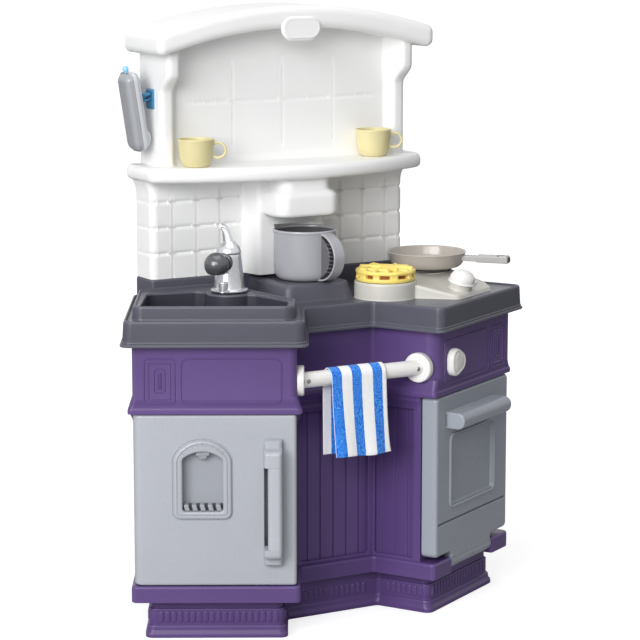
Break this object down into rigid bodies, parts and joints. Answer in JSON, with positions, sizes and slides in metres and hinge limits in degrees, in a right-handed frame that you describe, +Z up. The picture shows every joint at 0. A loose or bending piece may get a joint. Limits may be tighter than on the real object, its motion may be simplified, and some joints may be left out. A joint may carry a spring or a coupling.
{
  "type": "play kitchen",
  "caption": "Child's moulded play kitchen with two splayed cabinets, sink, cooktop, tiled arched wall, hinged fridge and oven doors, and loose play pieces.",
  "frame": {"origin": "centre of the footprint on the floor, under the middle of the overall box", "axes": "+X to the right seen from the front, along the tiled wall; -Y the front, where the child stands; +Z up"},
  "size_m": [0.744, 0.3632, 0.978],
  "materials": {
    "purple_moulding": "rotomoulded polyethylene, fine pebble grain",
    "dark_countertop": "moulded, dark blue-grey, fine grain",
    "white_moulding": "rotomoulded, white, softly rounded",
    "white_fittings": "injection moulded, white",
    "white_bar": "injection moulded, white",
    "silver_grey_door": "blow moulded, light silver grey",
    "dispenser_grey": "moulded, mid grey",
    "inner_shelf": "moulded, pale grey",
    "grey_door": null,
    "rack_wire": "moulded to look like wire, pale grey",
    "steel_fixings": "plain steel",
    "beige_cooktop": "injection moulded, beige",
    "dark_burner": "moulded, dark",
    "silver_tap": "silver coloured plastic, satin",
    "dark_spout": "dark glossy plastic",
    "terry_cloth": "white cotton terry with three blue stripes",
    "blue_clip": "injection moulded, blue",
    "phone_grey": "injection moulded, light grey",
    "pale_blue_ball": "translucent pale blue",
    "pot_grey": "injection moulded, grey, satin",
    "pan_grey": "injection moulded, warm grey",
    "yellow_food": "injection moulded, yellow",
    "cream_cups": "injection moulded, cream"
  },
  "bodies": {
    "frame": {"plinth": "purple_moulding", "cabinet": "purple_moulding", "countertop": "dark_countertop", "sink_drain": "silver_tap", "lower_wall": "white_moulding", "coffee_head": "white_moulding", "shelf": "white_moulding", "upper_wall": "white_moulding", "arch_cap": "white_moulding", "plaque": "white_moulding", "wall_screws": "steel_fixings", "fridge_shelf": "inner_shelf", "oven_rack": "rack_wire", "cooktop": "beige_cooktop", "burner_disc": "dark_burner", "stove_inlay": "white_fittings", "tap_column": "silver_tap", "tap_spout": "dark_spout", "towel_bar": "white_bar", "flange_left": "white_bar", "flange_right": "white_bar", "bar_screws": "steel_fixings", "phone_clip": "blue_clip"},
    "fridge_door": {"fridge_door": "silver_grey_door", "fridge_pins": "steel_fixings", "dispenser": "dispenser_grey"},
    "oven_door": {"oven_door": "grey_door", "oven_pins": "steel_fixings"},
    "oven_knob": {"oven_knob": "white_fittings"},
    "stove_knob": {"stove_knob": "white_fittings"},
    "tap_lever": {"tap_lever": "silver_tap"},
    "coffee_pot": {"coffee_pot": "pot_grey"},
    "pan": {"pan": "pan_grey"},
    "waffle": {"waffle": "yellow_food"},
    "cup_left": {"cup_left": "cream_cups"},
    "cup_right": {"cup_right": "cream_cups"},
    "towel": {"towel": "terry_cloth"},
    "phone": {"phone_front": "phone_grey", "phone_back": "phone_grey", "phone_antenna": "pale_blue_ball"}
  },
  "joints": [
    {"name": "fridge_hinge", "type": "hinge", "parent": "frame", "child": "fridge_door", "pos_m": [-0.32985, -0.0285, 0.225], "axis": [0, 0, -1], "range_deg": [0, 110]},
    {"name": "oven_hinge", "type": "hinge", "parent": "frame", "child": "oven_door", "pos_m": [0.2313, -0.0838, 0.081], "axis": [0.8721, 0.4894, 0], "range_deg": [0, 90]},
    {"name": "oven_knob_turn", "type": "hinge", "parent": "frame", "child": "oven_knob", "pos_m": [0.18147, -0.12782, 0.413], "axis": [0.4894, -0.8721, 0], "range_deg": [-90, 90]},
    {"name": "stove_knob_turn", "type": "hinge", "parent": "frame", "child": "stove_knob", "pos_m": [0.23064, -0.06832, 0.52772], "axis": [0.1184, -0.211, 0.9703], "range_deg": [-90, 90]},
    {"name": "tap_lever_turn", "type": "hinge", "parent": "frame", "child": "tap_lever", "pos_m": [-0.1401, 0.03989, 0.59], "axis": [0, 0, 1], "range_deg": [-40, 40]},
    {"name": "coffee_pot_lift", "type": "slide", "parent": "frame", "child": "coffee_pot", "axis": [0, -1, 0], "range_m": [0, 0.12]},
    {"name": "pan_lift", "type": "slide", "parent": "frame", "child": "pan", "axis": [0, 0, 1], "range_m": [0, 0.08]},
    {"name": "waffle_lift", "type": "slide", "parent": "frame", "child": "waffle", "axis": [0, 0, 1], "range_m": [0, 0.06]},
    {"name": "cup_left_lift", "type": "slide", "parent": "frame", "child": "cup_left", "axis": [0, 0, 1], "range_m": [0, 0.07]},
    {"name": "cup_right_lift", "type": "slide", "parent": "frame", "child": "cup_right", "axis": [0, 0, 1], "range_m": [0, 0.07]},
    {"name": "towel_lift", "type": "slide", "parent": "frame", "child": "towel", "axis": [0, 0, 1], "range_m": [0, 0.06]},
    {"name": "phone_lift", "type": "slide", "parent": "frame", "child": "phone", "axis": [-0.9877, 0, -0.1564], "range_m": [0, 0.06]}
  ]
}
